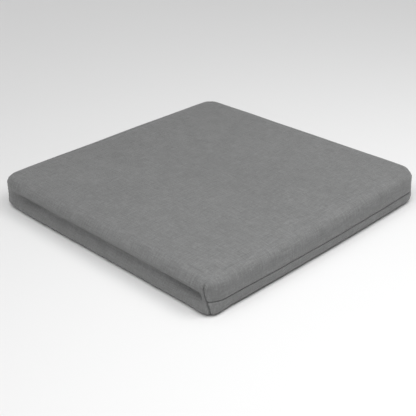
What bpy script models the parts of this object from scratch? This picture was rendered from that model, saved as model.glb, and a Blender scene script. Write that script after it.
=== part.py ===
"""Square kneeling pad: a foam block in a boxed fabric cover that zips shut.

Metres, +Z up. The origin is the centre of the face that the pad rests on. -Y is the front, where
the cover wraps round the foam without a seam. +X and -X carry the side seams, and +Y the zip. The
slider starts at the zip's closed end, near +X, and opens the zip by travelling along -X.
"""

import math

import bmesh
import bpy

# The pad
PAD_SIDE = 0.400
PAD_HEIGHT = 0.045
CORNER_RADIUS = 0.022
TOP_RADIUS = 0.010
BOTTOM_RADIUS = 0.008
SEAM_HEIGHT = 0.0175
SEAM_DIP = 0.0025
FABRIC = 0.001
FOAM_GAP = 0.0005
HALF = PAD_SIDE / 2

# Steps of a quarter circle, and of each half of the side between the rolled edges
CORNER_STEPS = 6
EDGE_STEPS = 4
SIDE_STEPS = 4

# Clearances: between still pieces, and round the moving slider and pull tab
REST_GAP = 0.0003
RUN_GAP = 0.0004

# Sewing thread
THREAD_RADIUS = 0.00025
THREAD_LIFT = REST_GAP + THREAD_RADIUS
SEAM_END_GAP = 0.0015
CORNER_SEAM_LOW = 0.0035
CORNER_SEAM_HIGH = PAD_HEIGHT - 0.0040
THREAD_STEPS = 12

# Zip, along X
OPENING_HALF = 0.1765
TAPE_HALF = 0.180
STOP_START = 0.1728
TOP_STOP_LENGTH = 0.0020
BOTTOM_STOP_LENGTH = 0.0028
SLIDER_LENGTH = 0.011
STOP_CLEARANCE = 0.0008
SLIDER_X = STOP_START - STOP_CLEARANCE - SLIDER_LENGTH / 2
DIAMOND_START = 0.0006
DIAMOND_END = 0.0046

# Zip, up the side, as distances from the seam line
OPENING_HEIGHT = 0.012
STITCH_ROW = 0.0076
TAPE_EDGE = 0.0012
TAPE_WIDTH = 0.0113
COIL_GAP = REST_GAP
COIL_WIDTH = 0.0028
STOP_EDGE = TAPE_EDGE - REST_GAP
STOP_WIDTH = 0.0030

# Zip, outwards along Y, each level from the one before
TAPE_THICKNESS = 0.0005
COIL_THICKNESS = 0.0018
PLATE = 0.0008
TAB_THICKNESS = 0.0008
TAPE_OUTER = HALF - SEAM_DIP - FABRIC - 0.0007
TAPE_INNER = TAPE_OUTER - TAPE_THICKNESS
COIL_INNER = TAPE_OUTER + REST_GAP
COIL_OUTER = COIL_INNER + COIL_THICKNESS
FRONT_PLATE_INNER = COIL_OUTER + RUN_GAP
FRONT_PLATE_OUTER = FRONT_PLATE_INNER + PLATE
BACK_PLATE_OUTER = TAPE_INNER - RUN_GAP
BACK_PLATE_INNER = BACK_PLATE_OUTER - PLATE
PIN_Y = FRONT_PLATE_OUTER + RUN_GAP + TAB_THICKNESS / 2
BRIDGE_INNER = PIN_Y + TAB_THICKNESS / 2 + RUN_GAP
BRIDGE_OUTER = BRIDGE_INNER + PLATE

# Pressed-in channel along the foam's back face, wide for the tapes and deeper for the slider
CHANNEL_HALF_LENGTH = TAPE_HALF + 0.003
TAPE_CHANNEL_HALF_HEIGHT = TAPE_EDGE + TAPE_WIDTH + 0.0007
TAPE_CHANNEL_FLOOR = TAPE_INNER - RUN_GAP
SLIDER_CHANNEL_HALF_HEIGHT = 0.0056
SLIDER_CHANNEL_FLOOR = BACK_PLATE_INNER - FOAM_GAP


def clear_scene():
    for thing in list(bpy.data.objects):
        bpy.data.objects.remove(thing, do_unlink=True)


def make_material(name, colour, roughness, metallic=0.0):
    material = bpy.data.materials.new(name)
    material.use_nodes = True
    shader = material.node_tree.nodes["Principled BSDF"]
    shader.inputs["Base Color"].default_value = (*colour, 1.0)
    shader.inputs["Roughness"].default_value = roughness
    shader.inputs["Metallic"].default_value = metallic
    return material


def mesh_object(name, corners, faces, material=None):
    """A closed mesh object whose faces all point out."""
    mesh = bpy.data.meshes.new(name)
    mesh.from_pydata(corners, [], faces)
    shape = bmesh.new()
    shape.from_mesh(mesh)
    bmesh.ops.recalc_face_normals(shape, faces=shape.faces)
    shape.to_mesh(mesh)
    shape.free()
    if material:
        mesh.materials.append(material)
    thing = bpy.data.objects.new(name, mesh)
    bpy.context.scene.collection.objects.link(thing)
    return thing


def loft(name, rings, material=None):
    """One closed form through rings that have the same number of corners, with flat ends."""
    count = len(rings[0])
    corners = [corner for ring in rings for corner in ring]
    faces = [tuple(reversed(range(count)))]
    for level in range(len(rings) - 1):
        start = level * count
        for i in range(count):
            j = (i + 1) % count
            faces.append((start + i, start + j, start + count + j, start + count + i))
    faces.append(tuple(range(len(corners) - count, len(corners))))
    return mesh_object(name, corners, faces, material)


def box(name, low, high, material=None):
    rings = []
    for z in (low[2], high[2]):
        rings.append([
            (low[0], low[1], z),
            (high[0], low[1], z),
            (high[0], high[1], z),
            (low[0], high[1], z),
        ])
    return loft(name, rings, material)


def prism(name, outline, place, low, high, material=None):
    """An outline of 2D corners drawn out from low to high. place(u, v, w) puts a corner in space."""
    rings = [[place(u, v, w) for u, v in outline] for w in (low, high)]
    return loft(name, rings, material)


def across_y(u, v, w):
    return (u, w, v)


def along_x(u, v, w):
    return (w, u, v)


def along_z(u, v, w):
    return (u, v, w)


def hide_helper(helper):
    helper.hide_render = True
    helper.display_type = "WIRE"


def combine(target, helper, operation):
    """Cuts the helper from the target, or joins it on, with a modifier that stays."""
    modifier = target.modifiers.new(f"{operation.title()} {helper.name}", "BOOLEAN")
    modifier.operation = operation
    modifier.object = helper
    modifier.solver = "EXACT"
    hide_helper(helper)
    helper.parent = target.parent


def round_edges(thing, width, segments=1):
    modifier = thing.modifiers.new("Round edges", "BEVEL")
    modifier.width = width
    modifier.segments = segments
    modifier.limit_method = "ANGLE"


def smooth(thing):
    thing.data.shade_smooth()
    thing.data.set_sharp_from_angle(angle=math.radians(40))


def seam_dip(z):
    """How far the sides are drawn in at height z: most at the seam, and not at all at the edges."""
    if z < SEAM_HEIGHT:
        reach = SEAM_HEIGHT - BOTTOM_RADIUS
    else:
        reach = PAD_HEIGHT - TOP_RADIUS - SEAM_HEIGHT
    part = min(abs(z - SEAM_HEIGHT) / reach, 1.0)
    return SEAM_DIP * (1 + math.cos(math.pi * part)) / 2


def edge_inset(z):
    """How far the pad's surface lies inside its square outline at height z."""
    if z < BOTTOM_RADIUS:
        rise = BOTTOM_RADIUS - z
        return BOTTOM_RADIUS - math.sqrt(BOTTOM_RADIUS**2 - rise**2)
    if z > PAD_HEIGHT - TOP_RADIUS:
        rise = z - (PAD_HEIGHT - TOP_RADIUS)
        return TOP_RADIUS - math.sqrt(TOP_RADIUS**2 - rise**2)
    return seam_dip(z)


def side_levels(offset):
    """(inset, height) pairs up the side of the pad's form, taken in by offset all over."""
    levels = []
    radius = BOTTOM_RADIUS - offset
    for step in range(EDGE_STEPS + 1):
        angle = math.pi / 2 * step / EDGE_STEPS
        levels.append((radius * (1 - math.sin(angle)), BOTTOM_RADIUS - radius * math.cos(angle)))
    for low, high in ((BOTTOM_RADIUS, SEAM_HEIGHT), (SEAM_HEIGHT, PAD_HEIGHT - TOP_RADIUS)):
        for step in range(1, SIDE_STEPS + 1):
            z = low + (high - low) * step / SIDE_STEPS
            levels.append((seam_dip(z), z))
    radius = TOP_RADIUS - offset
    for step in range(1, EDGE_STEPS + 1):
        angle = math.pi / 2 * step / EDGE_STEPS
        rise = radius * math.sin(angle)
        levels.append((radius * (1 - math.cos(angle)), PAD_HEIGHT - TOP_RADIUS + rise))
    return [(offset + inset, z) for inset, z in levels]


def rounded_square(inset, z):
    """The pad's outline, taken in by inset, at height z, anticlockwise from above."""
    radius = CORNER_RADIUS - inset
    centre = HALF - CORNER_RADIUS
    ring = []
    for turn in range(4):
        for step in range(CORNER_STEPS + 1):
            angle = math.pi / 2 * (turn + step / CORNER_STEPS)
            sign_x = 1 if turn in (0, 3) else -1
            sign_y = 1 if turn in (0, 1) else -1
            x = sign_x * centre + radius * math.cos(angle)
            y = sign_y * centre + radius * math.sin(angle)
            ring.append((x, y, z))
    return ring


def pad_form(name, offset, material=None):
    rings = [rounded_square(inset, z) for inset, z in side_levels(offset)]
    form = loft(name, rings, material)
    smooth(form)
    return form


def thread(name, route, material):
    """A run of sewing thread along a route of points."""
    curve = bpy.data.curves.new(name, "CURVE")
    curve.dimensions = "3D"
    curve.bevel_depth = THREAD_RADIUS
    curve.bevel_resolution = 1
    curve.use_fill_caps = True
    spline = curve.splines.new("POLY")
    spline.points.add(len(route) - 1)
    for point, place in zip(spline.points, route):
        point.co = (*place, 1.0)
    curve.materials.append(material)
    thing = bpy.data.objects.new(name, curve)
    bpy.context.scene.collection.objects.link(thing)
    return thing


def corner_point(sign_x, sign_y, angle, z, lift):
    """A point on the pad's rounded corner. angle runs from 0 on the X side to a right angle on Y."""
    radius = CORNER_RADIUS - edge_inset(z) + lift
    x = sign_x * (HALF - CORNER_RADIUS + radius * math.cos(angle))
    y = sign_y * (HALF - CORNER_RADIUS + radius * math.sin(angle))
    return (x, y, z)


def make_foam(material):
    foam = pad_form("foam_core", FABRIC + FOAM_GAP, material)
    beyond = HALF + 0.01
    channels = (
        ("foam_tape_channel", TAPE_CHANNEL_HALF_HEIGHT, TAPE_CHANNEL_FLOOR),
        ("foam_slider_channel", SLIDER_CHANNEL_HALF_HEIGHT, SLIDER_CHANNEL_FLOOR),
    )
    for name, half_height, floor in channels:
        low = (-CHANNEL_HALF_LENGTH, floor, SEAM_HEIGHT - half_height)
        high = (CHANNEL_HALF_LENGTH, beyond, SEAM_HEIGHT + half_height)
        combine(foam, box(name, low, high), "DIFFERENCE")


def make_cover(material):
    cover = pad_form("cover", 0.0, material)
    combine(cover, pad_form("cover_inside", FABRIC), "DIFFERENCE")
    low = (-OPENING_HALF, HALF - 0.01, SEAM_HEIGHT - OPENING_HEIGHT / 2)
    high = (OPENING_HALF, HALF + 0.01, SEAM_HEIGHT + OPENING_HEIGHT / 2)
    combine(cover, box("zip_opening", low, high), "DIFFERENCE")


def make_side_seams(material):
    """The seams along +X and -X, which run round into the corners as far as the corner seams."""
    straight = HALF - CORNER_RADIUS
    gap_angle = SEAM_END_GAP / CORNER_RADIUS
    last = math.pi / 4 - gap_angle
    for name, sign in (("side_seam_thread_right", 1), ("side_seam_thread_left", -1)):
        front = []
        back = []
        for step in range(4):
            angle = last * (1 - step / 3)
            front.append(corner_point(sign, -1, angle, SEAM_HEIGHT, THREAD_LIFT))
            back.append(corner_point(sign, 1, angle, SEAM_HEIGHT, THREAD_LIFT))
        x = front[-1][0]
        middle = []
        for step in range(1, THREAD_STEPS):
            middle.append((x, straight * (2 * step / THREAD_STEPS - 1), SEAM_HEIGHT))
        thread(name, front + middle + back[::-1], material)


def make_back_seam_ends(material):
    """The short stretches of the back seam between the ends of the zip and the corner seams."""
    first = math.pi / 4 + SEAM_END_GAP / CORNER_RADIUS
    for name, sign in (("back_seam_thread_right", 1), ("back_seam_thread_left", -1)):
        route = []
        for step in range(5):
            angle = first + (math.pi / 2 - first) * step / 4
            route.append(corner_point(sign, 1, angle, SEAM_HEIGHT, THREAD_LIFT))
        thread(name, route, material)


def make_corner_seams(material):
    """The upright seam at each of the cover's four corners."""
    corners = (
        ("corner_seam_thread_front_right", 1, -1),
        ("corner_seam_thread_front_left", -1, -1),
        ("corner_seam_thread_back_right", 1, 1),
        ("corner_seam_thread_back_left", -1, 1),
    )
    for name, sign_x, sign_y in corners:
        route = []
        for step in range(THREAD_STEPS + 1):
            z = CORNER_SEAM_LOW + (CORNER_SEAM_HIGH - CORNER_SEAM_LOW) * step / THREAD_STEPS
            route.append(corner_point(sign_x, sign_y, math.pi / 4, z, 2 * THREAD_LIFT))
        thread(name, route, material)


def make_zip_stitching(material):
    """The two rows of stitches that hold the tapes to the cover, above and below the opening."""
    for name, sign in (("zip_stitching_upper", 1), ("zip_stitching_lower", -1)):
        z = SEAM_HEIGHT + sign * STITCH_ROW
        y = HALF - edge_inset(z) + THREAD_LIFT
        route = []
        for step in range(THREAD_STEPS + 1):
            x = OPENING_HALF * (2 * step / THREAD_STEPS - 1)
            route.append((x, y, z))
        thread(name, route, material)


def make_tapes(material):
    for name, sign in (("zip_tape_upper", 1), ("zip_tape_lower", -1)):
        near = SEAM_HEIGHT + sign * TAPE_EDGE
        far = near + sign * TAPE_WIDTH
        low = (-TAPE_HALF, TAPE_INNER, min(near, far))
        high = (TAPE_HALF, TAPE_OUTER, max(near, far))
        box(name, low, high, material)


def make_coils(material):
    """Each row of the coil as the bar it fills, from the bottom stop to the slider's diamond."""
    start = -STOP_START + REST_GAP
    end = SLIDER_X + DIAMOND_START - RUN_GAP
    for name, sign in (("zip_coil_upper", 1), ("zip_coil_lower", -1)):
        near = SEAM_HEIGHT + sign * COIL_GAP / 2
        far = near + sign * COIL_WIDTH
        low = (start, COIL_INNER, min(near, far))
        high = (end, COIL_OUTER, max(near, far))
        round_edges(box(name, low, high, material), 0.0005, 2)


def clip_outline(sign):
    """A clip folded round one tape's edge, seen along X. Its legs lie on both of the tape's faces."""
    edge = SEAM_HEIGHT + sign * STOP_EDGE
    web = edge - sign * (STOP_EDGE - REST_GAP)
    tip = web + sign * STOP_WIDTH
    front = TAPE_OUTER + REST_GAP
    back = TAPE_INNER - REST_GAP
    return [
        (back - PLATE / 2, web),
        (front + COIL_THICKNESS * 0.8, web),
        (front + COIL_THICKNESS * 0.8, tip),
        (front, tip),
        (front, edge),
        (back, edge),
        (back, tip),
        (back - PLATE / 2, tip),
    ]


def make_top_stops(material):
    for name, sign in (("zip_top_stop_upper", 1), ("zip_top_stop_lower", -1)):
        end = STOP_START + TOP_STOP_LENGTH
        round_edges(prism(name, clip_outline(sign), along_x, STOP_START, end, material), 0.0001)


def make_bottom_stop(material):
    """One clip across both tapes: two legs joined by a web in the gap between the tapes."""
    front = TAPE_OUTER + REST_GAP
    back = TAPE_INNER - REST_GAP
    leg = STOP_WIDTH
    web = STOP_EDGE
    outer = front + COIL_THICKNESS
    outline = [
        (back - PLATE / 2, -leg),
        (back, -leg),
        (back, -web),
        (front, -web),
        (front, -leg),
        (outer, -leg),
        (outer, leg),
        (front, leg),
        (front, web),
        (back, web),
        (back, leg),
        (back - PLATE / 2, leg),
    ]
    outline = [(y, SEAM_HEIGHT + z) for y, z in outline]
    start = -STOP_START - BOTTOM_STOP_LENGTH
    stop = prism("zip_bottom_stop", outline, along_x, start, -STOP_START, material)
    round_edges(stop, 0.0001)


def plate_outline(half_width):
    """The slider's plate seen from outside: shoulders near its nose, at +X, and a narrower tail."""
    nose = SLIDER_LENGTH / 2
    shoulder = 0.0028
    half = [
        (nose, half_width - 0.0022),
        (nose - 0.0006, half_width - 0.0012),
        (shoulder, half_width),
        (0.0004, half_width - 0.0002),
        (-nose + 0.0006, half_width - 0.0008),
        (-nose, half_width - 0.0014),
    ]
    return half + [(x, -z) for x, z in reversed(half)]


def make_slider(material):
    """Two plates round the chain, joined by the diamond that parts it, with side flanges and a
    bridge that holds the pull tab. The object's origin is on the line that it slides along."""
    half_width = 0.0047
    flange = 0.0008
    overlap = 0.0001
    origin_y = (COIL_INNER + COIL_OUTER) / 2
    front = (FRONT_PLATE_INNER - origin_y, FRONT_PLATE_OUTER - origin_y)
    back = (BACK_PLATE_INNER - origin_y, BACK_PLATE_OUTER - origin_y)
    slider = prism("zip_slider", plate_outline(half_width), across_y, *front, material)
    round_edges(slider, 0.0002)
    back_plate = prism("slider_back_plate", plate_outline(half_width - 0.0004), across_y, *back)
    middle = (DIAMOND_START + DIAMOND_END) / 2
    half_diamond = TAPE_EDGE - RUN_GAP
    diamond_outline = [
        (DIAMOND_START, 0.0),
        (middle, -half_diamond),
        (DIAMOND_END, 0.0),
        (middle, half_diamond),
    ]
    diamond_ends = (back[1] - overlap, front[0] + overlap)
    helpers = [back_plate, prism("slider_diamond", diamond_outline, across_y, *diamond_ends)]
    for name, sign in (("slider_flange_upper", 1), ("slider_flange_lower", -1)):
        edges = (sign * (half_width - flange - 0.0001), sign * (half_width - 0.0001))
        low = (-0.0035, TAPE_OUTER + RUN_GAP - origin_y, min(edges))
        high = (0.0030, front[0] + overlap, max(edges))
        helpers.append(box(name, low, high))
    foot = FRONT_PLATE_OUTER - origin_y - overlap
    inside = BRIDGE_INNER - origin_y
    outside = BRIDGE_OUTER - origin_y
    bridge_outline = [
        (-0.0034, foot),
        (-0.0024, foot),
        (-0.0024, inside - 0.0003),
        (-0.0020, inside),
        (0.0020, inside),
        (0.0024, inside - 0.0003),
        (0.0024, foot),
        (0.0034, foot),
        (0.0034, outside - 0.0005),
        (0.0028, outside),
        (-0.0028, outside),
        (-0.0034, outside - 0.0005),
    ]
    helpers.append(prism("slider_bridge", bridge_outline, along_z, -0.0008, 0.0008))
    slider.location = (SLIDER_X, origin_y, SEAM_HEIGHT)
    for helper in helpers:
        helper.location = slider.location
        combine(slider, helper, "UNION")
    return slider


def make_pull_tab(slider, material):
    """A flat tab hung on the bridge by the bar at its end. At rest it lies along the zip towards
    -X. The object's origin is on the bar's own axis, which the tab turns about."""
    half_bar = 0.0004
    neck = 0.0020
    grip = 0.0028
    length = 0.024
    corner = 0.0009
    outline = [
        (half_bar, -neck + half_bar),
        (half_bar, neck - half_bar),
        (0.0, neck),
        (-0.0060, neck),
        (-0.0100, grip),
        (-length + 2 * corner, grip),
        (-length + corner / 2, grip - corner / 2),
        (-length, grip - 2 * corner),
        (-length, -grip + 2 * corner),
        (-length + corner / 2, -grip + corner / 2),
        (-length + 2 * corner, -grip),
        (-0.0100, -grip),
        (-0.0060, -neck),
        (0.0, -neck),
    ]
    half_thickness = TAB_THICKNESS / 2
    tab = prism("zip_pull_tab", outline, across_y, -half_thickness, half_thickness, material)
    eye = box("pull_tab_eye", (-0.0042, -0.001, -0.0012), (-half_bar, 0.001, 0.0012))
    combine(tab, eye, "DIFFERENCE")
    round_edges(tab, 0.0001)
    tab.location = (SLIDER_X, PIN_Y, SEAM_HEIGHT)
    eye.location = tab.location
    tab.parent = slider
    tab.matrix_parent_inverse = slider.matrix_basis.inverted()


def make_pad():
    cloth = make_material("grey woven fabric", (0.19, 0.20, 0.195), 0.85)
    foam = make_material("grey foam", (0.55, 0.55, 0.53), 0.9)
    sewing = make_material("grey sewing thread", (0.16, 0.165, 0.165), 0.7)
    tape = make_material("grey zip tape", (0.13, 0.135, 0.135), 0.8)
    nylon = make_material("grey nylon coil", (0.11, 0.115, 0.115), 0.4)
    metal = make_material("grey painted metal", (0.10, 0.10, 0.10), 0.35, 0.6)
    make_foam(foam)
    make_cover(cloth)
    make_side_seams(sewing)
    make_back_seam_ends(sewing)
    make_corner_seams(sewing)
    make_zip_stitching(sewing)
    make_tapes(tape)
    make_coils(nylon)
    make_top_stops(metal)
    make_bottom_stop(metal)
    make_pull_tab(make_slider(metal), metal)


clear_scene()
make_pad()
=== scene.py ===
import math

import bpy
import numpy as np
from mathutils import Matrix, Vector, noise
from mathutils.bvhtree import BVHTree


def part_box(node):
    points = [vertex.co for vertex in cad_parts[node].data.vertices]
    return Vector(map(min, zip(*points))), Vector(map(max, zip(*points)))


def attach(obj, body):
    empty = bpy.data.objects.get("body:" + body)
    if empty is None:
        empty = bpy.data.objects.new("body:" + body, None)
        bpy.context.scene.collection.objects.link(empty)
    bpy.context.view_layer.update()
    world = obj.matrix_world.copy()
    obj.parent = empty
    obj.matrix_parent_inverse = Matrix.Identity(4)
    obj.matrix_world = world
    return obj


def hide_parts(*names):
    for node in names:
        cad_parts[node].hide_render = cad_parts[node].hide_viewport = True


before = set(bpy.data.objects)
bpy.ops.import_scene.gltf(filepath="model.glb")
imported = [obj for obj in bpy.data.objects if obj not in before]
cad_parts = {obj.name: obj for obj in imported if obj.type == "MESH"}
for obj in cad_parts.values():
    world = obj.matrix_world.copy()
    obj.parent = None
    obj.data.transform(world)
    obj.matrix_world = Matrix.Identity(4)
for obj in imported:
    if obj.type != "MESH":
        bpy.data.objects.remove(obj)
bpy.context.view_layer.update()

# Kneeling pad: the looks. Everything is in metres, in the CAD frame: +Z up, -Y the seamless
# front, +X and -X the seamed sides, +Y the zip. Sizes come from the CAD nodes' boxes.

MM = 0.001

_, cover_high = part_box("cover")
HALF = cover_high.x
TOP = cover_high.z
seam_low, seam_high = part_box("side_seam_thread_right")
SEAM_Z = (seam_low.z + seam_high.z) / 2
row_low, row_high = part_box("zip_stitching_upper")
STITCH_ROW = (row_low.z + row_high.z) / 2 - SEAM_Z
OPENING_HALF = row_high.x

# The plain form: a square with rounded corners, whose sides roll over to the top and the base
CORNER = 21 * MM
TOP_ROLL = 10 * MM
BASE_ROLL = 8 * MM
STRAIGHT = HALF - CORNER
REACH = STRAIGHT + math.pi / 4 * CORNER
SIDE = 2 * REACH
RIGHT, BACK, LEFT, FRONT = range(4)
CLOTH = 0.8 * MM

# Seams: the radius of their folded edges, how deep those are turned in, and half the gap between
# them. OPENING is half the height of the zip's opening.
SEAM_LIP = 1.8 * MM
ZIP_LIP = 1.0 * MM
TURNED_IN = 0.5 * MM
SEAM_FLANGE = 2.4 * MM
ZIP_FLANGE = 1.8 * MM
SEAM_SPLIT = 0.15 * MM
OPENING = STITCH_ROW - 1.6 * MM

# Swells of the sides: (how far out, height of the middle, spread)
FRONT_VALLEY = (-6.4 * MM, 0.45 * TOP, 0.14 * TOP)
FRONT_SHOULDER = (2.6 * MM, 0.73 * TOP, 0.10 * TOP)
FRONT_FLARE = (2.2 * MM, 0.14 * TOP, 0.15 * TOP)
SEAM_RIDGE = (0.7 * MM, SEAM_Z + 3 * MM, 4 * MM)
SEAM_HOLLOW = (-0.6 * MM, SEAM_Z, 3 * MM)
RIGHT_BOW = 3.8 * MM
LEFT_BOW = 2.4 * MM
UNDERCUT = 0.6 * MM
ZIP_DIP = 2.5 * MM
ZIP_DIP_REACH = 13 * MM

# Corners, from the front right one anticlockwise: how far out above and at the base
CORNER_FORMS = ((0.4 * MM, 3.4 * MM), (-4.4 * MM, -3.3 * MM), (-0.6 * MM, 0.4 * MM), (0.0, 0.6 * MM))
CORNER_REACH = 13 * MM
CORNER_LIP = 1.6 * MM
CORNER_SLOT = 1.9 * MM
CORNER_SLOT_WIDTH = 0.34 * MM
CORNER_PUFF = (1.5 * MM, 3.2 * MM, 2.3 * MM)
CORNER_PUCKER = (0.25 * MM, 1.8 * MM, 2.2 * MM)
LEAN = 7.6 * MM
LEAN_REACH = 26 * MM
WRINKLE = 0.35 * MM

# The top
CROWN = 1.4 * MM
TROUGH = 1.9 * MM
TROUGH_Y = -HALF + 24 * MM

# The cloth simulation
FRAMES = 20
MOST_MOVE = 2.2 * MM

# The foam: how far it stays inside the cover, and the channel behind the zip
FOAM_SIDE_GAP = 3.6 * MM
FOAM_BASE_GAP = 1.4 * MM
FOAM_TOP_GAP = 2.0 * MM
FOAM_CROWN = 0.5 * MM
CHANNEL_DEPTH = 7.2 * MM
CHANNEL_HALF_HEIGHT = 17 * MM

# Stitches: (length, rise of the middle, rise of the ends, negative where they dip). The thread
# stops SEAM_END short of a seam's ends.
THREAD = 0.24 * MM
SEAM_END = 2.5 * MM
SEAM_PITCH = 5.0 * MM
ROW_PITCH = 3.6 * MM
SEAM_STITCH = (3.0 * MM, 3.3 * MM, 2.6 * MM)
CORNER_STITCH = (2.6 * MM, 4.1 * MM, 2.9 * MM)
ROW_STITCH = (3.0 * MM, 0.2 * MM, -0.4 * MM)


# ---------------------------------------------------------------- the cover's form


def spaced(start, end, first, largest, growth):
    """Positions from start to end whose steps grow from first to largest."""
    sign = 1 if end > start else -1
    places = [start]
    step = first
    while abs(end - places[-1]) > 1.5 * step:
        places.append(places[-1] + sign * step)
        step = min(step * growth, largest)
    return places + [end]


def grid_lines(first, largest, growth):
    """Places across a side, close together at its two corner seams."""
    half = np.array(spaced(-REACH, 0.0, first, largest, growth))
    return np.concatenate([half, -half[-2::-1]])


def smoothstep(x):
    x = np.clip(x, 0.0, 1.0)
    return x * x * (3 - 2 * x)


def bump(x, centre, width):
    return np.exp(-(((x - centre) / width) ** 2))


def swell(x, form):
    """A rounded rise, where form is (amount, centre, width)."""
    amount, centre, width = form
    return amount * bump(x, centre, width)


def outline(place, inset):
    """Points and outward normals of the pad's outline, taken in by inset. place runs round it
    anticlockwise from the front right corner seam, SIDE for each side."""
    side = np.floor(place / SIDE).astype(int) % 4
    q = np.mod(place, SIDE) - REACH
    turn = np.clip(np.abs(q) - STRAIGHT, 0.0, None) / CORNER
    radius = CORNER - inset
    along = np.sign(q) * (np.minimum(np.abs(q), STRAIGHT) + radius * np.sin(turn))
    out = STRAIGHT + radius * np.cos(turn)
    normal_along = np.sign(q) * np.sin(turn)
    normal_out = np.cos(turn)
    cos = np.array([1, 0, -1, 0])[side]
    sin = np.array([0, 1, 0, -1])[side]
    point = np.stack([cos * out - sin * along, sin * out + cos * along], -1)
    normal = np.stack([cos * normal_out - sin * normal_along, sin * normal_out + cos * normal_along], -1)
    return point, normal


def flat_map(p, q, radius):
    """Maps the square grid of lines onto the rounded square whose corners have this radius."""
    share = radius / (REACH - STRAIGHT)
    a = np.clip(np.abs(p) - STRAIGHT, 0, None) * share
    b = np.clip(np.abs(q) - STRAIGHT, 0, None) * share
    r = np.maximum(a, b)
    angle = math.pi / 4 * np.minimum(a, b) / np.maximum(r, 1e-9)
    both = (a > 0) & (b > 0)
    x = np.where(both, np.where(a >= b, r * np.cos(angle), r * np.sin(angle)), a)
    y = np.where(both, np.where(a >= b, r * np.sin(angle), r * np.cos(angle)), b)
    x = np.sign(p) * (np.minimum(np.abs(p), STRAIGHT) + x)
    y = np.sign(q) * (np.minimum(np.abs(q), STRAIGHT) + y)
    return x, y


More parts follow.
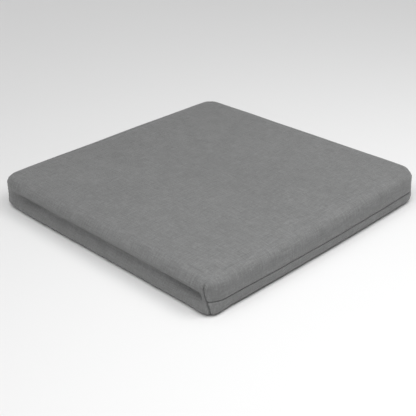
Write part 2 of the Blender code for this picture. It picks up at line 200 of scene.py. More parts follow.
class Skin:
    """The pad's skin as one grid of quads: a band of rows round the sides, whose first ring is the
    top's border and whose last ring is the base's. A sewn skin has folded seams and the zip's
    opening. first and largest are the heights of the rows next to the seam and away from it."""

    def __init__(self, lines, sewn, rolls, first, largest):
        self.sewn = sewn
        self.lines = lines
        self.n = len(lines) - 1
        column = np.arange(4 * self.n)
        self.place = (column // self.n) * SIDE + lines[column % self.n] + REACH
        self.side = column // self.n
        self.q = lines[column % self.n]
        self.corner_gap = REACH - np.abs(self.q)
        self.make_rows(rolls, first, largest)
        self.make_band()
        self.make_faces()

    def make_rows(self, rolls, first, largest):
        """(part, amount) for each row. In a seam part, amount is the distance from the seam's edge."""
        self.reach = {"upper": TOP - TOP_ROLL - SEAM_Z, "lower": SEAM_Z - BASE_ROLL}
        ups = spaced(0.0, self.reach["upper"], first, largest, 1.18)
        downs = spaced(0.0, self.reach["lower"], first, largest, 1.18)
        if not self.sewn:
            downs = downs[1:]
        self.rows = [("top", i / rolls) for i in range(rolls)]
        self.rows += [("upper", t) for t in reversed(ups)]
        self.rows += [("lower", t) for t in downs]
        self.rows += [("base", (i + 1) / rolls) for i in range(rolls)]

    def seam_folds(self):
        """For each column: how far the seam stands open, how much of a seam it is, its lips'
        radius, and how deep their edges are turned in."""
        if not self.sewn:
            zero = np.zeros(len(self.q))
            return zero, zero, zero + ZIP_LIP, zero
        strength = np.where(self.side == FRONT, 0.0, smoothstep(self.corner_gap / (1.2 * MM)))
        ends = smoothstep((OPENING_HALF + 1.0 * MM - np.abs(self.q)) / (3.0 * MM))
        ends = np.where(self.side == BACK, ends, 0.0)
        flange = SEAM_FLANGE + (ZIP_FLANGE - SEAM_FLANGE) * ends
        lip = SEAM_LIP + (ZIP_LIP - SEAM_LIP) * ends
        return OPENING * ends, strength, lip, flange

    def make_band(self):
        opening, strength, lip, flange = self.seam_folds()
        inset = np.zeros((len(self.rows), len(self.q)))
        z = np.zeros_like(inset)
        for k, (part, amount) in enumerate(self.rows):
            if part == "top":
                angle = math.pi / 2 * (1 - amount)
                inset[k] = TOP_ROLL * (1 - math.cos(angle))
                z[k] = TOP - TOP_ROLL * (1 - math.sin(angle))
            elif part == "base":
                angle = math.pi / 2 * amount
                inset[k] = BASE_ROLL * (1 - math.cos(angle))
                z[k] = BASE_ROLL * (1 - math.sin(angle))
            else:
                reach = self.reach[part]
                arc = TURNED_IN + lip * math.pi / 2
                angle = np.clip((amount - TURNED_IN) / lip, 0, math.pi / 2)
                beyond = np.clip((amount - arc) / (reach - arc), 0, 1)
                rise = opening + lip * (1 - np.cos(angle)) + beyond * (reach - opening - lip)
                rise = amount + strength * (rise - amount)
                if self.sewn:
                    rise += SEAM_SPLIT * (1 - amount / reach)
                depth = lip * (1 - np.sin(angle)) + flange * max(1 - amount / TURNED_IN, 0)
                inset[k] = strength * depth
                z[k] = SEAM_Z + (rise if part == "upper" else -rise)
        self.inset = inset
        self.z = z

    def make_faces(self):
        rows, columns = self.z.shape
        self.band = np.arange(rows * columns).reshape(rows, columns)
        open_columns = (self.side == BACK) & (np.abs(self.q) < OPENING_HALF + 0.4 * MM)
        self.faces = []
        self.face_side = []
        for k in range(rows - 1):
            gap = self.sewn and self.rows[k][0] == "upper" and self.rows[k + 1][0] == "lower"
            for c in range(columns):
                d = (c + 1) % columns
                if gap and open_columns[c] and open_columns[d]:
                    continue
                above, below = self.band[k], self.band[k + 1]
                self.faces.append((above[c], below[c], below[d], above[d]))
                self.face_side.append(self.side[c])
        count = rows * columns
        n = self.n
        self.flats = []
        rings = ((self.band[0], TOP_ROLL, True), (self.band[-1], BASE_ROLL, False))
        for ring, roll, upward in rings:
            grid = np.zeros((n + 1, n + 1), int)
            grid[n, :n] = ring[:n]
            grid[1:, n] = ring[n : 2 * n][::-1]
            grid[0, 1:] = ring[2 * n : 3 * n][::-1]
            grid[:n, 0] = ring[3 * n :]
            grid[1:n, 1:n] = count + np.arange((n - 1) ** 2).reshape(n - 1, n - 1)
            count += (n - 1) ** 2
            self.flats.append((grid, CORNER - roll, TOP if upward else 0.0))
            for i in range(n):
                for j in range(n):
                    quad = (grid[i, j], grid[i + 1, j], grid[i + 1, j + 1], grid[i, j + 1])
                    self.faces.append(quad if upward else quad[::-1])
                    self.face_side.append(-1)
        self.count = count

    def points(self, shift=0.0, place_shift=0.0):
        """All points, with the band moved outwards by shift and along the outline by place_shift.
        The top and the base stretch to follow their borders."""
        place = np.broadcast_to(self.place, self.z.shape) + place_shift
        point, normal = outline(place, self.inset)
        point = point + normal * np.broadcast_to(shift, self.z.shape)[..., None]
        points = np.zeros((self.count, 3))
        points[self.band.ravel()] = np.concatenate([point, self.z[..., None]], -1).reshape(-1, 3)
        p, q = np.meshgrid(self.lines, self.lines, indexing="ij")
        for grid, radius, height in self.flats:
            plain = np.stack(flat_map(p, q, radius), -1)
            move = np.zeros_like(plain)
            border = np.ones(grid.shape, bool)
            border[1:-1, 1:-1] = False
            move[border] = points[grid[border]][:, :2] - plain[border]
            for _ in range(500):
                around = move[2:, 1:-1] + move[:-2, 1:-1] + move[1:-1, 2:] + move[1:-1, :-2]
                move[1:-1, 1:-1] = around / 4
            inner = grid[1:-1, 1:-1].ravel()
            points[inner, :2] = (plain + move)[1:-1, 1:-1].reshape(-1, 2)
            points[inner, 2] = height
        return points


def side_shift(skin):
    """How far the sides stand out of the plain form. The front draws in under its shoulder and
    flares to its base. The seamed sides bow out, fullest near the seam, and lean in below it. The
    back dips in at the zip."""
    z = skin.z
    u = np.broadcast_to(skin.q / REACH, z.shape)
    side = np.broadcast_to(skin.side, z.shape)
    fade = smoothstep((1 - np.abs(u)) / 0.10)
    front = swell(z, FRONT_VALLEY) + swell(z, FRONT_SHOULDER) + swell(z, FRONT_FLARE)
    front = smoothstep((1 - u) / 0.06) * smoothstep((1 + u) / 0.26) * front
    full = 0.55 + 0.45 * smoothstep((TOP - z) / (0.3 * TOP))
    full -= 0.40 * smoothstep((SEAM_Z - z) / SEAM_Z)
    bow = (1 - u**2) * full
    ridge = fade * (swell(z, SEAM_RIDGE) + swell(z, SEAM_HOLLOW))
    under = -UNDERCUT * fade * smoothstep((SEAM_Z - z) / SEAM_Z)
    right = RIGHT_BOW * bow + ridge + under
    left = LEFT_BOW * bow + ridge + under
    near_zip = np.clip(np.abs(z - SEAM_Z) / ZIP_DIP_REACH, 0, 1)
    back = -ZIP_DIP * fade * (0.5 + 0.5 * np.cos(np.pi * near_zip))
    shifts = {RIGHT: right, BACK: back, LEFT: left, FRONT: front}
    return np.select([side == name for name in shifts], list(shifts.values()))


def from_corner(place, corner):
    """The distance along the outline past a corner seam, negative before it."""
    return np.mod(place - corner * SIDE + 2 * SIDE, 4 * SIDE) - 2 * SIDE


def corner_form(skin):
    """How far the corners stand out. The front right one is drawn to a point at its base, and the
    back right one is the roundest."""
    z = skin.z
    place = np.broadcast_to(skin.place, z.shape)
    low = smoothstep((0.45 * TOP - z) / (0.35 * TOP))
    shift = np.zeros_like(z)
    for corner, (upper, base) in enumerate(CORNER_FORMS):
        around = from_corner(place, corner)
        shift += (upper + (base - upper) * low) * bump(around, 0, CORNER_REACH)
    return shift


def corner_shift(skin):
    """The upright corner seams: a slot between two folded edges, the cloth puffed up beside it,
    and small puckers at its stitches."""
    z = skin.z
    gap = np.broadcast_to(skin.corner_gap, z.shape)
    run = smoothstep((TOP - z - 3.6 * MM) / (3.4 * MM)) * smoothstep((z - 0.6 * MM) / (2.4 * MM))
    inner = np.clip(CORNER_LIP - gap, 0, None)
    fold = CORNER_LIP - np.sqrt(np.clip(CORNER_LIP**2 - inner**2, 0, None))
    fold += CORNER_SLOT * np.clip(1 - gap / CORNER_SLOT_WIDTH, 0, 1)
    pucker = np.cos(2 * math.pi * z / SEAM_PITCH) * swell(gap, CORNER_PUCKER)
    return run * (swell(gap, CORNER_PUFF) + pucker - fold)


def corner_lean(skin):
    """How far along the outline the front right corner seam leans over to the front."""
    near = bump(from_corner(skin.place, 0), 0, LEAN_REACH)
    z = skin.z
    height = 0.06 + 0.94 * smoothstep(z / (32 * MM))
    height *= smoothstep((TOP - z) / (5 * MM)) * smoothstep(z / (4 * MM))
    return -LEAN * near * height


def side_wrinkles(skin):
    """Soft unevenness of the cloth along the seams, where the two edges were fed in unevenly."""
    out = np.zeros_like(skin.z)
    near_seam = bump(skin.z, SEAM_Z, 6 * MM)
    for c, place in enumerate(skin.place):
        if skin.side[c] == FRONT:
            continue
        high = noise.noise(Vector((place * 32, 3.7, 0)))
        high += 0.5 * noise.noise(Vector((place * 75, 9.1, 0)))
        low = noise.noise(Vector((place * 40, 21.3, 0)))
        upper = skin.z[:, c] > SEAM_Z
        out[:, c] = WRINKLE * near_seam[:, c] * np.where(upper, high, low)
    return out


def dome(x, y):
    """1 in the middle of the pad and 0 at its edges."""
    return np.clip(1 - (x / HALF) ** 2, 0, 1) * np.clip(1 - (y / HALF) ** 2, 0, 1)


def with_relief(points):
    """The points with the top's crown, a shallow trough behind the rolled front edge, and slow
    hollows and swells everywhere but at the base, which lies flat."""
    x, y, z = points.T
    trough = TROUGH * bump(y, TROUGH_Y, 11 * MM) * bump(x, -10 * MM, 130 * MM)
    lift = smoothstep((z / TOP - 0.45) / 0.5) * (CROWN * dome(x, y) - trough)
    waves = np.zeros(len(points))
    for i, point in enumerate(points):
        place = Vector(point)
        waves[i] = 0.40 * noise.noise(place * 14) + 0.14 * noise.noise(place * 38)
    lift += MM * waves * smoothstep(z / (0.3 * TOP))
    return np.column_stack([x, y, np.maximum(z + lift, 0.0)])


def mesh_piece(name, points, faces, material=None):
    mesh = bpy.data.meshes.new(name)
    mesh.from_pydata([tuple(p) for p in points], [], [tuple(int(i) for i in f) for f in faces])
    mesh.update()
    piece = bpy.data.objects.new(name, mesh)
    bpy.context.scene.collection.objects.link(piece)
    if material:
        mesh.materials.append(material)
    return piece


def on_pad(piece, node):
    """Puts a piece on the pad's body in place of a CAD node."""
    piece.data.shade_smooth()
    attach(piece, "pad")
    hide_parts(node)


def simulate_cloth():
    """Blows the cover up against its seams as cloth. Returns the form before, its faces, and how
    far each point moves."""
    lines = grid_lines(4.5 * MM, 6.5 * MM, 1.1)
    skin = Skin(lines, sewn=False, rolls=3, first=3.2 * MM, largest=4.5 * MM)
    before = skin.points(side_shift(skin) + corner_form(skin))
    piece = mesh_piece("cover_simulation", before, skin.faces)
    group = piece.vertex_groups.new(name="sewn")
    rows, columns = skin.z.shape
    for k in range(rows):
        on_seam = abs(skin.z[k, 0] - SEAM_Z) < 0.5 * MM
        for c in range(columns):
            if skin.corner_gap[c] < MM and skin.z[k, c] < TOP - 3 * MM:
                group.add([int(skin.band[k, c])], 1.0, "REPLACE")
            elif on_seam and skin.side[c] != FRONT:
                group.add([int(skin.band[k, c])], 1.0, "REPLACE")
    base = [i for i, p in enumerate(before) if p[2] < 0.5 * MM]
    group.add(base, 1.0, "REPLACE")
    cloth = piece.modifiers.new("Cloth", "CLOTH")
    settings = cloth.settings
    settings.quality = 5
    settings.mass = 0.3
    settings.tension_stiffness = 12
    settings.compression_stiffness = 8
    settings.shear_stiffness = 4
    settings.bending_stiffness = 0.6
    settings.air_damping = 4
    settings.use_pressure = True
    settings.uniform_pressure_force = 4
    settings.vertex_group_mass = "sewn"
    settings.pin_stiffness = 1.0
    settings.shrink_min = -0.012
    settings.effector_weights.gravity = 0
    cloth.collision_settings.use_self_collision = False
    cloth.collision_settings.use_collision = False
    cloth.point_cache.frame_start = 1
    cloth.point_cache.frame_end = FRAMES
    scene = bpy.context.scene
    for number in range(1, FRAMES + 1):
        scene.frame_set(number)
    depsgraph = bpy.context.evaluated_depsgraph_get()
    evaluated = piece.evaluated_get(depsgraph)
    after = np.array([v.co for v in evaluated.data.vertices], float)
    scene.frame_set(1)
    bpy.data.objects.remove(piece)
    move = after - before
    length = np.linalg.norm(move, axis=1, keepdims=True)
    move *= np.minimum(1.0, MOST_MOVE / np.maximum(length, 1e-9))
    return before, skin.faces, move


def tree_of(points, faces):
    return BVHTree.FromPolygons([Vector(p) for p in points], [tuple(int(i) for i in f) for f in faces])


def carried(points, before, faces, move):
    """The move of the nearest place on the simulated form, for each of these points."""
    tree = tree_of(before, faces)
    result = np.zeros_like(points)
    for i, p in enumerate(points):
        place, _, index, _ = tree.find_nearest(Vector(p))
        corners = np.asarray(faces[index], int)
        gaps = np.linalg.norm(before[corners] - np.array(place), axis=1)
        weights = 1 / (gaps + 1e-5) ** 2
        result[i] = weights @ move[corners] / weights.sum()
    return result


def smoothed(values, faces, rounds):
    """Averages values over the mesh's edges, several times."""
    quads = np.array(faces)
    starts = quads.ravel()
    ends = np.roll(quads, -1, axis=1).ravel()
    count = np.bincount(starts, minlength=len(values)) + np.bincount(ends, minlength=len(values))
    for _ in range(rounds):
        total = np.zeros_like(values)
        for axis in range(values.shape[1]):
            total[:, axis] += np.bincount(starts, values[ends, axis], len(values))
            total[:, axis] += np.bincount(ends, values[starts, axis], len(values))
        values = 0.4 * values + 0.6 * total / np.maximum(count, 1)[:, None]
    return values


def held_out(move, points, faces):
    """The move with hardly any of its inward part, because the foam stands behind the cloth."""
    quads = points[np.array(faces)]
    face_normals = np.cross(quads[:, 2] - quads[:, 0], quads[:, 3] - quads[:, 1])
    normals = np.zeros_like(points)
    for corner in range(4):
        for axis in range(3):
            index = np.array(faces)[:, corner]
            normals[:, axis] += np.bincount(index, face_normals[:, axis], len(points))
    normals = smoothed(normals, faces, 6)
    normals /= np.linalg.norm(normals, axis=1, keepdims=True)
    inward = np.minimum((move * normals).sum(1) + 0.2 * MM, 0.0)
    return move - inward[:, None] * normals


def cloth_map(skin, piece):
    """A UV map in metres that follows the cloth: down the front in one piece from the top, and
    from the top or the base to the seam on the other sides."""
    mesh = piece.data
    points = np.array([v.co for v in mesh.vertices], float)
    band = points[: skin.band.size].reshape(*skin.z.shape, 3)
    steps = np.linalg.norm(np.diff(band, axis=0), axis=2)
    down = np.concatenate([np.zeros((1, steps.shape[1])), np.cumsum(steps, axis=0)])
    up = down[-1] - down
    upper = np.array([part in ("top", "upper") for part, _ in skin.rows])
    layer = mesh.uv_layers.new(name="cloth")
    coordinates = np.zeros((len(mesh.loops), 2))
    columns = skin.z.shape[1]
    for polygon, side in zip(mesh.polygons, skin.face_side):
        for loop in polygon.loop_indices:
            index = mesh.loops[loop].vertex_index
            x, y, _ = points[index]
            if side < 0:
                coordinates[loop] = (x, y)
                continue
            k, c = divmod(index, columns)
            if side == FRONT or upper[k]:
                out = HALF - TOP_ROLL + down[k, c]
            else:
                out = HALF - BASE_ROLL + up[k, c]
            coordinates[loop] = {
                RIGHT: (out, y),
                BACK: (x, out),
                LEFT: (-out, y),
                FRONT: (x, -out),
            }[side]
    layer.data.foreach_set("uv", coordinates.ravel())


def make_cover(material):
    lines = grid_lines(0.35 * MM, 5.0 * MM, 1.25)
    skin = Skin(lines, sewn=True, rolls=7, first=0.17 * MM, largest=1.5 * MM)
    shift = side_shift(skin) + corner_form(skin)
    shift = shift + corner_shift(skin) + side_wrinkles(skin)
    points = skin.points(shift, corner_lean(skin))
    before, faces, move = simulate_cloth()
    move = smoothed(carried(points, before, faces, move), skin.faces, 12)
    points += held_out(move, points, skin.faces)
    points = with_relief(points)
    cover = mesh_piece("cover_cloth", points, skin.faces, material)
    cloth_map(skin, cover)
    thick = cover.modifiers.new("Cloth thickness", "SOLIDIFY")
    thick.thickness = CLOTH
    thick.offset = -1.0
    on_pad(cover, "cover")
    return skin, points


# ---------------------------------------------------------------- the foam


def make_foam(material):
    """The block inside: it follows the cover, and is set back behind the zip."""
    lines = grid_lines(3.0 * MM, 9.0 * MM, 1.2)
    skin = Skin(lines, sewn=False, rolls=4, first=1.2 * MM, largest=2.2 * MM)
    z = skin.z
    q = np.broadcast_to(skin.q, z.shape)
    on_back = np.broadcast_to(skin.side == BACK, z.shape)
    channel = smoothstep((CHANNEL_HALF_HEIGHT - np.abs(z - SEAM_Z)) / (5 * MM))
    channel *= smoothstep((REACH - 4 * MM - np.abs(q)) / (4 * MM))
    set_back = np.where(on_back, CHANNEL_DEPTH * channel, 0.0)
    shift = 0.6 * side_shift(skin) * (1 - on_back) + np.minimum(corner_form(skin), 0)
    points = skin.points(shift - FOAM_SIDE_GAP - set_back)
    points[:, 2] = FOAM_BASE_GAP + points[:, 2] * (TOP - FOAM_BASE_GAP - FOAM_TOP_GAP) / TOP
    lifted = smoothstep(points[:, 2] / (0.8 * TOP))
    points[:, 2] += FOAM_CROWN * lifted * dome(points[:, 0], points[:, 1])
    foam = mesh_piece("foam_block", points, skin.faces, material)
    on_pad(foam, "foam_core")


# ---------------------------------------------------------------- sewing


class Path:
    """A line of points with an outward direction at each, read by distance along it."""

    def __init__(self, points, outward):
        self.points = np.asarray(points, float)
        self.outward = np.asarray(outward, float)
        steps = np.linalg.norm(np.diff(self.points, axis=0), axis=1)
        self.distance = np.concatenate([[0.0], np.cumsum(steps)])
        self.length = self.distance[-1]

    def at(self, s):
        place = np.array([np.interp(s, self.distance, self.points[:, i]) for i in range(3)])
        out = np.array([np.interp(s, self.distance, self.outward[:, i]) for i in range(3)])
        return place, out / np.linalg.norm(out)


def add_tube(points, faces, route, radius, sides=6):
    """Adds a closed tube along route, with rounded ends, to the lists of points and faces."""
    route = np.asarray(route, float)
    tangents = np.gradient(route, axis=0)
    tangents /= np.linalg.norm(tangents, axis=1, keepdims=True)
    up = np.array([0.31, 0.17, 0.94])
    start = len(points)
    last = len(route) - 1
    for i, (place, along) in enumerate(zip(route, tangents)):
        across = np.cross(along, up)
        across /= np.linalg.norm(across)
        other = np.cross(across, along)
        r = radius * (0.55 if i in (0, last) else 1.0)
        for j in range(sides):
            turn = 2 * math.pi * j / sides
            points.append(place + r * (math.cos(turn) * across + math.sin(turn) * other))
    for i in range(last):
        a = start + i * sides
        for j in range(sides):
            k = (j + 1) % sides
            faces.append((a + j, a + k, a + sides + k, a + sides + j))
    faces.append(tuple(start + j for j in range(sides))[::-1])
    end = start + last * sides
    faces.append(tuple(end + j for j in range(sides)))


def make_stitches(node, path, pitch, stitch, material):
    """A row of stitches along the path, each of which rises out of the cloth and dips back in."""
    length, middle_rise, end_rise = stitch
    points, faces = [], []
    count = max(1, int(path.length / pitch))
    for i in range(count):
        middle = path.length * (i + 0.5) / count
        waver = 0.06 * math.sin(2.4 * i + 0.7 * math.sin(1.7 * i))
        route = []
        for t in np.linspace(-1, 1, 7):
            place, out = path.at(middle + length / 2 * (t + waver))
            rise = middle_rise * (1 - t**4) + end_rise * t**4
            route.append(place + out * rise)
        add_tube(points, faces, route, THREAD)
    piece = mesh_piece(node + "_stitches", points, faces, material)
    on_pad(piece, node)


def seam_path(skin, points, columns):
    """The bottom of the side seam's groove along these columns, with the way out of it."""
    upper = next(k for k, row in enumerate(skin.rows) if row == ("upper", 0.0))
    place = points[skin.band[upper, columns]] + points[skin.band[upper + 1, columns]]
    _, normal = outline(skin.place[columns], 0.0)
    return Path(place / 2, np.column_stack([normal, np.zeros(len(normal))]))


def corner_path(skin, points, corner):
    """The bottom of an upright corner seam's groove, from top to base."""
    column = corner * skin.n
    z = skin.z[:, column]
    rows = np.where((z > 4.5 * MM) & (z < TOP - 6.5 * MM))[0]
    _, normal = outline(skin.place[column] + corner_lean(skin)[rows, column], 0.0)
    return Path(points[skin.band[rows, column]], np.column_stack([normal, np.zeros(len(rows))]))


def row_path(skin, points, sign):
    """The zip's row of stitching on the cloth above or below the opening."""
    tree = tree_of(points, skin.faces)
    places, normals = [], []
    for x in np.linspace(-OPENING_HALF, OPENING_HALF, 150):
        z = SEAM_Z + sign * (STITCH_ROW + 0.12 * MM * math.sin(31 * x))
        hit, normal, _, _ = tree.ray_cast(Vector((x, HALF + 0.05, z)), Vector((0, -1, 0)))
        places.append(hit)
        normals.append(normal if normal.y > 0 else -normal)
    return Path(places, normals)


def make_sewing(skin, points, material):
    end = REACH - SEAM_END
    past_zip = OPENING_HALF + SEAM_END
    seams = {
        "side_seam_thread_right": (RIGHT, -end, end),
        "side_seam_thread_left": (LEFT, -end, end),
        "back_seam_thread_right": (BACK, -end, -past_zip),
        "back_seam_thread_left": (BACK, past_zip, end),
    }
    for node, (side, low, high) in seams.items():
        columns = np.where((skin.side == side) & (skin.q > low) & (skin.q < high))[0]
        path = seam_path(skin, points, columns)
        make_stitches(node, path, SEAM_PITCH, SEAM_STITCH, material)
    for corner, name in enumerate(("front_right", "back_right", "back_left", "front_left")):
        path = corner_path(skin, points, corner)
        make_stitches("corner_seam_thread_" + name, path, SEAM_PITCH, CORNER_STITCH, material)
    for name, sign in (("upper", 1), ("lower", -1)):
        path = row_path(skin, points, sign)
        make_stitches("zip_stitching_" + name, path, ROW_PITCH, ROW_STITCH, material)


# ---------------------------------------------------------------- the zip


def make_tape(name, material):
    """One tape: a thin woven strip with a corded edge by the coil and a slight waviness."""
    node = "zip_tape_" + name
    low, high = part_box(node)
    sign = 1 if name == "upper" else -1
    near, far = (low.z, high.z) if sign > 0 else (high.z, low.z)
    xs = np.linspace(low.x, high.x, 181)
    across = np.array([0, 0.04, 0.09, 0.15, 0.22, 0.35, 0.5, 0.65, 0.8, 0.92, 0.97, 1.0])
    middle = (low.y + high.y) / 2
    half = (high.y - low.y) / 2
    thick = half * np.array([0.4, 0.95, 1.25, 1.2, 0.85, 0.8, 0.8, 0.8, 0.8, 0.85, 0.8, 0.35])
    rings = []
    for x in xs:
        wave = 0.10 * MM * math.sin(x * 410) + 0.06 * MM * math.sin(x * 173 + 1.0)
        edge = 0.12 * MM * math.sin(x * 260 + 0.4)
        ring = []
        for face in (1, -1):
            order = range(len(across)) if face > 0 else reversed(range(len(across)))
            for i in order:
                z = near + (far - near) * across[i] + edge * across[i] ** 3
                y = middle - 0.12 * MM + wave * across[i] ** 2 + face * thick[i]
                ring.append((x, y, z))
        rings.append(ring)
    count = len(rings[0])
    points = [p for ring in rings for p in ring]
    faces = []
    for i in range(len(rings) - 1):
        for j in range(count):
            k = (j + 1) % count
            quad = (i * count + j, i * count + k, (i + 1) * count + k, (i + 1) * count + j)
            faces.append(quad if sign > 0 else quad[::-1])
    first = tuple(range(count))
    last = tuple((len(rings) - 1) * count + j for j in range(count))
    faces += [first[::-1], last] if sign > 0 else [first, last[::-1]]
    piece = mesh_piece(node + "_woven", points, faces, material)
    on_pad(piece, node)


def make_coil(name, material):
    """One row of the chain: a monofilament wound in flattened loops, whose heads reach past the
    seam line between the other row's."""
    node = "zip_coil_" + name
    low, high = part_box(node)
    sign = 1 if name == "upper" else -1
    wire = 0.33 * MM
    pitch = 1.5 * MM
    turns = int((high.x - low.x - 2 * wire) / pitch)
    near = SEAM_Z - sign * 0.55 * MM
    far = (high.z if sign > 0 else low.z) - sign * 0.1 * MM
    deep = (high.y - low.y) / 2 - wire
    middle = (low.y + high.y) / 2
    shift = 0.0 if sign > 0 else pitch / 2
    route = []
    steps = 12
    for i in range(turns * steps + 1):
        turn = 2 * math.pi * i / steps
        c, s = math.cos(turn), math.sin(turn)
        # A squarish loop: flat along the tape, with a broad head where the rows lock together.
        y = middle + deep * np.sign(s) * abs(s) ** 0.75
        reach = 0.5 - 0.5 * np.sign(c) * abs(c) ** 0.7
        z = far + (near - far) * reach
        x = low.x + wire + shift + pitch * i / steps
        route.append((min(x, high.x - wire), y, z))
    points, faces = [], []
    add_tube(points, faces, route, wire, sides=5)
    piece = mesh_piece(node + "_loops", points, faces, material)
    on_pad(piece, node)


# ---------------------------------------------------------------- materials


CLOTH_COLOUR = (0.176, 0.178, 0.177)
FOAM_COLOUR = (0.56, 0.555, 0.53)
THREAD_COLOUR = (0.105, 0.108, 0.107)
TAPE_COLOUR = (0.125, 0.13, 0.13)
COIL_COLOUR = (0.105, 0.11, 0.11)
ENAMEL_COLOUR = (0.075, 0.077, 0.078)
FLOOR_COLOUR = (0.78, 0.78, 0.78)
WEAVE_PITCH = 1.05 * MM


class Nodes:
    """A material's node tree, with short calls for the nodes used here."""

    def __init__(self, name):
        self.material = bpy.data.materials.new(name)
        self.material.use_nodes = True
        self.tree = self.material.node_tree
        self.shader = self.tree.nodes["Principled BSDF"]

    def put(self, socket, value):
        if isinstance(value, bpy.types.NodeSocket):
            self.tree.links.new(value, socket)
        else:
            socket.default_value = value

    def math(self, operation, a, b=0.0, c=0.0, clamp=False):
        node = self.tree.nodes.new("ShaderNodeMath")
        node.operation = operation
        node.use_clamp = clamp
        for socket, value in zip(node.inputs, (a, b, c)):
            self.put(socket, value)
        return node.outputs[0]

    def place(self):
        """The point's place in metres."""
        return self.tree.nodes.new("ShaderNodeTexCoord").outputs["Object"]

    def uv(self, name):
        node = self.tree.nodes.new("ShaderNodeUVMap")
        node.uv_map = name
        return node.outputs[0]

    def split(self, vector):
        node = self.tree.nodes.new("ShaderNodeSeparateXYZ")
        self.put(node.inputs[0], vector)
        return node.outputs

    def scaled(self, vector, scale):
        node = self.tree.nodes.new("ShaderNodeMapping")
        node.inputs["Scale"].default_value = scale
        self.put(node.inputs["Vector"], vector)
        return node.outputs[0]

    def noise(self, vector, scale, detail=2.0, roughness=0.5):
        node = self.tree.nodes.new("ShaderNodeTexNoise")
        self.put(node.inputs["Vector"], vector)
        node.inputs["Scale"].default_value = scale
        node.inputs["Detail"].default_value = detail
        node.inputs["Roughness"].default_value = roughness
        return node.outputs[0]

    def cells(self, vector, scale):
        node = self.tree.nodes.new("ShaderNodeTexVoronoi")
        self.put(node.inputs["Vector"], vector)
        node.inputs["Scale"].default_value = scale
        return node.outputs["Distance"]

    def around(self, value, middle, spread):
        """A 0-to-1 value turned into middle, give or take spread."""
        return self.math("MULTIPLY_ADD", value, 2 * spread, middle - spread)

    def shaded(self, colour, *factors):
        """The colour multiplied by each factor."""
        total = factors[0]
        for factor in factors[1:]:
            total = self.math("MULTIPLY", total, factor)
        node = self.tree.nodes.new("ShaderNodeVectorMath")
        node.operation = "SCALE"
        node.inputs[0].default_value = colour
        self.put(node.inputs["Scale"], total)
        return node.outputs[0]

    def bump(self, height, distance, strength=1.0):
        node = self.tree.nodes.new("ShaderNodeBump")
        node.inputs["Strength"].default_value = strength
        node.inputs["Distance"].default_value = distance
        self.put(node.inputs["Height"], height)
        self.put(self.shader.inputs["Normal"], node.outputs[0])

    def set(self, **values):
        for name, value in values.items():
            self.put(self.shader.inputs[name.replace("_", " ")], value)
        return self.material


def make_cover_material():
    """Plain-woven polyester: warp and weft of uneven yarn with nubs, flecks and slow mottling, with a
    painted highlight on convex edges and painted shade in creases and seam grooves.
    """
    m = Nodes("woven_cover_cloth")
    uv = m.uv("cloth")
    place = m.place()
    drift = m.math("MULTIPLY", m.noise(place, 22, 1.0), 2.6 * MM)
    u, v, _ = m.split(uv)
    u = m.math("ADD", u, drift)
    other_drift = m.math("MULTIPLY", m.noise(m.scaled(place, (1, 1, -1)), 17, 1.0), 2.6 * MM)
    v = m.math("ADD", v, other_drift)
    a = m.math("SINE", m.math("MULTIPLY", u, math.pi / WEAVE_PITCH))
    b = m.math("SINE", m.math("MULTIPLY", v, math.pi / WEAVE_PITCH))
    over = m.math("MULTIPLY", a, b)
    warp = m.math("MULTIPLY", m.math("ABSOLUTE", a), m.math("MULTIPLY_ADD", over, 0.5, 0.5))
    weft = m.math("MULTIPLY", m.math("ABSOLUTE", b), m.math("MULTIPLY_ADD", over, -0.5, 0.5))
    weave = m.math("MAXIMUM", warp, weft)
    slub_u = m.noise(m.scaled(uv, (1050, 42, 1)), 1.0, 1.0)
    slub_v = m.noise(m.scaled(uv, (42, 1050, 1)), 1.0, 1.0)
    fibre = m.noise(place, 1300, 3.0, 0.6)
    mottle = m.noise(place, 26, 3.0, 0.55)
    cloud = m.noise(place, 7, 1.0)
    worn = m.noise(place, 110, 4.0, 0.65)
    fleck = m.noise(place, 430, 2.0, 0.6)
    nub_u = m.noise(m.scaled(uv, (560, 60, 1)), 1.0, 1.0)
    nub_v = m.noise(m.scaled(uv, (60, 560, 1)), 1.0, 1.0)
    # Painted light: pointiness lightens convex edges and rolled shoulders as a painted highlight, and
    # darkens creases and seam grooves as painted shade.
    pointy = m.tree.nodes.new("ShaderNodeNewGeometry").outputs["Pointiness"]
    painted_edge_highlight_and_crease_shade = m.math("MULTIPLY_ADD", m.math("SUBTRACT", pointy, 0.5), 1.1, 1.0)
    colour = m.shaded(
        CLOTH_COLOUR,
        m.around(weave, 0.97, 0.30),
        m.around(slub_u, 1.0, 0.20),
        m.around(slub_v, 1.0, 0.20),
        m.around(fibre, 1.0, 0.20),
        m.around(mottle, 1.0, 0.10),
        m.around(cloud, 1.0, 0.05),
        m.around(worn, 1.0, 0.11),
        m.around(fleck, 1.0, 0.22),
        m.around(nub_u, 1.0, 0.13),
        m.around(nub_v, 1.0, 0.13),
        painted_edge_highlight_and_crease_shade,
    )
    height = m.math("ADD", weave, m.math("MULTIPLY", slub_u, 0.35))
    height = m.math("ADD", height, m.math("MULTIPLY", slub_v, 0.35))
    height = m.math("ADD", height, m.math("MULTIPLY", fibre, 0.12))
    m.bump(height, 0.10 * MM, 0.75)
    return m.set(
        Base_Color=colour,
        Roughness=m.around(worn, 0.84, 0.06),
        Sheen_Weight=0.22,
        Sheen_Roughness=0.45,
        Sheen_Tint=(1.0, 1.0, 1.0, 1.0),
        Specular_IOR_Level=0.3,
    )


def make_foam_material():
    """Fine open cells, a little uneven in colour."""
    m = Nodes("open_cell_foam")
    place = m.place()
    cell = m.cells(place, 900)
    large = m.cells(place, 420)
    cloud = m.noise(place, 14, 3.0)
    pores = m.math("MULTIPLY_ADD", cell, 0.7, m.math("MULTIPLY", large, 0.5))
    colour = m.shaded(FOAM_COLOUR, m.around(pores, 0.98, 0.22), m.around(cloud, 1.0, 0.05))
    m.bump(pores, 0.4 * MM, 0.8)
    return m.set(Base_Color=colour, Roughness=m.around(cloud, 0.92, 0.05), Specular_IOR_Level=0.2)


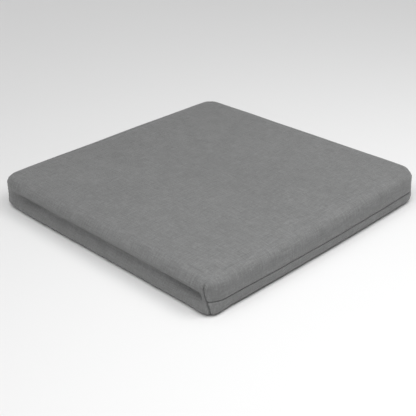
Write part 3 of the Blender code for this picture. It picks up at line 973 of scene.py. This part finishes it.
def make_thread_material():
    """Twisted sewing thread, darker than the cloth."""
    m = Nodes("sewing_thread")
    place = m.place()
    x, y, z = m.split(place)
    along = m.math("ADD", m.math("ADD", x, y), z)
    twist = m.math("SINE", m.math("MULTIPLY", along, 2 * math.pi / (0.42 * MM)))
    strand = m.math("MULTIPLY_ADD", twist, 0.5, 0.5)
    fibre = m.noise(place, 5000, 2.0)
    tint = m.noise(place, 45, 2.0)
    colour = m.shaded(
        THREAD_COLOUR,
        m.around(strand, 1.0, 0.2),
        m.around(fibre, 1.0, 0.12),
        m.around(tint, 1.0, 0.06),
    )
    m.bump(strand, 0.05 * MM, 0.8)
    return m.set(Base_Color=colour, Roughness=m.around(fibre, 0.66, 0.1), Sheen_Weight=0.2)


def make_tape_material():
    """Herringbone tape: twill lines that turn back every few millimetres across the tape."""
    m = Nodes("herringbone_zip_tape")
    place = m.place()
    x, _, z = m.split(place)
    zigzag = m.math("PINGPONG", z, 1.9 * MM)
    twill = m.math("SINE", m.math("MULTIPLY", m.math("ADD", x, zigzag), 2 * math.pi / (0.72 * MM)))
    rib = m.math("SINE", m.math("MULTIPLY", x, 2 * math.pi / (0.36 * MM)))
    lines = m.math("MULTIPLY_ADD", twill, 0.5, 0.5)
    ribs = m.math("MULTIPLY_ADD", rib, 0.5, 0.5)
    fibre = m.noise(place, 3500, 2.0)
    cloud = m.noise(place, 30, 2.0)
    colour = m.shaded(
        TAPE_COLOUR,
        m.around(lines, 1.0, 0.16),
        m.around(ribs, 1.0, 0.07),
        m.around(fibre, 1.0, 0.08),
        m.around(cloud, 1.0, 0.06),
    )
    m.bump(m.math("MULTIPLY_ADD", lines, 0.8, ribs), 0.07 * MM, 0.8)
    return m.set(Base_Color=colour, Roughness=m.around(fibre, 0.82, 0.06), Sheen_Weight=0.15)


def make_coil_material():
    """Drawn nylon: smooth, satin, faintly uneven along the wire."""
    m = Nodes("nylon_zip_coil")
    place = m.place()
    drawn = m.noise(m.scaled(place, (900, 2500, 2500)), 1.0, 2.0)
    cloud = m.noise(place, 60, 2.0)
    colour = m.shaded(COIL_COLOUR, m.around(drawn, 1.0, 0.1), m.around(cloud, 1.0, 0.08))
    m.bump(drawn, 0.01 * MM, 0.5)
    return m.set(Base_Color=colour, Roughness=m.around(drawn, 0.38, 0.08), Specular_IOR_Level=0.5)


def make_enamel_material():
    """Dark enamel on die-cast zinc: a fine orange peel, fine scratches, and a little wear."""
    m = Nodes("enamelled_zip_metal")
    place = m.place()
    peel = m.noise(place, 2200, 2.0)
    scratch = m.noise(m.scaled(place, (300, 4000, 4000)), 1.0, 3.0, 0.6)
    cloud = m.noise(place, 420, 4.0, 0.6)
    worn = m.math("MULTIPLY", m.math("SUBTRACT", cloud, 0.60), 6.0, clamp=True)
    factor = m.math("MULTIPLY_ADD", worn, 1.4, 1.0)
    colour = m.shaded(
        ENAMEL_COLOUR,
        m.around(cloud, 1.0, 0.1),
        m.around(scratch, 1.0, 0.08),
        factor,
    )
    m.bump(m.math("MULTIPLY_ADD", scratch, 0.5, peel), 0.012 * MM, 0.6)
    return m.set(
        Base_Color=colour,
        Metallic=m.math("MULTIPLY_ADD", worn, 0.5, 0.2),
        Roughness=m.around(cloud, 0.38, 0.08),
    )


def make_floor_material():
    m = Nodes("pale_floor")
    cloud = m.noise(m.place(), 3, 2.0)
    colour = m.shaded(FLOOR_COLOUR, m.around(cloud, 1.0, 0.004))
    return m.set(Base_Color=colour, Roughness=0.9)


# ---------------------------------------------------------------- the stage


def camera_matrix(azimuth, elevation, roll, distance, target):
    """Azimuth 0 looks along +Y, and roll turns the picture about its middle."""
    a = math.radians(azimuth)
    e = math.radians(elevation)
    back = Vector((math.sin(a) * math.cos(e), -math.cos(a) * math.cos(e), math.sin(e)))
    right = Vector((math.cos(a), math.sin(a), 0.0))
    up = back.cross(right)
    r = math.radians(roll)
    turned_right = right * math.cos(r) + up * math.sin(r)
    turned_up = up * math.cos(r) - right * math.sin(r)
    matrix = Matrix((turned_right, turned_up, back)).transposed().to_4x4()
    matrix.translation = Vector(target) + back * distance
    return matrix


def make_camera():
    data = bpy.data.cameras.new("camera")
    data.sensor_width = 36.0
    data.lens = 76.5
    data.clip_start = 0.01
    camera = bpy.data.objects.new("camera", data)
    camera.matrix_world = camera_matrix(
        azimuth=45.56, elevation=27.63, roll=-1.0, distance=1.0949, target=(0.0742, -0.0787, 0.0462)
    )
    bpy.context.scene.collection.objects.link(camera)
    bpy.context.scene.camera = camera


def add_light(data, place):
    """Adds a light at this place, aimed at the pad."""
    light = bpy.data.objects.new(data.name, data)
    light.location = place
    light.rotation_euler = (-Vector(place)).to_track_quat("-Z", "Y").to_euler()
    bpy.context.scene.collection.objects.link(light)


def make_area(name, size, power, place):
    data = bpy.data.lights.new(name, "AREA")
    data.shape = "SQUARE"
    data.size = size
    data.energy = power
    add_light(data, place)


def make_sun(name, strength, angle, place):
    data = bpy.data.lights.new(name, "SUN")
    data.angle = math.radians(angle)
    data.energy = strength
    add_light(data, place)


def make_stage():
    corners = [(-6, -6, 0), (6, -6, 0), (6, 6, 0), (-6, 6, 0)]
    floor = mesh_piece("floor", corners, [(0, 1, 2, 3)], make_floor_material())
    floor.location.z = -0.2 * MM
    world = bpy.data.worlds.new("studio")
    bpy.context.scene.world = world
    world.use_nodes = True
    background = world.node_tree.nodes["Background"]
    background.inputs["Color"].default_value = (1, 1, 1, 1)
    background.inputs["Strength"].default_value = 0.2
    make_area("right", 0.6, 3.9, (0.55, 0.22, 0.9))
    make_area("near", 0.6, 3.5, (0.52, -0.54, 0.9))
    make_sun("daylight", 1.1, 75, (0, 0, 1))
    make_sun("window", 0.65, 32, (0, -0.8, 1))
    bpy.context.scene.view_settings.view_transform = "Standard"


make_camera()
make_stage()
cover_skin, cover_points = make_cover(make_cover_material())
make_foam(make_foam_material())
make_sewing(cover_skin, cover_points, make_thread_material())
tape_material = make_tape_material()
coil_material = make_coil_material()
for row in ("upper", "lower"):
    make_tape(row, tape_material)
    make_coil(row, coil_material)
enamel = make_enamel_material()
stops = ("zip_top_stop_upper", "zip_top_stop_lower", "zip_bottom_stop")
for name in ("zip_slider", "zip_pull_tab", *stops):
    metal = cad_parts[name]
    metal.data.materials.clear()
    metal.data.materials.append(enamel)
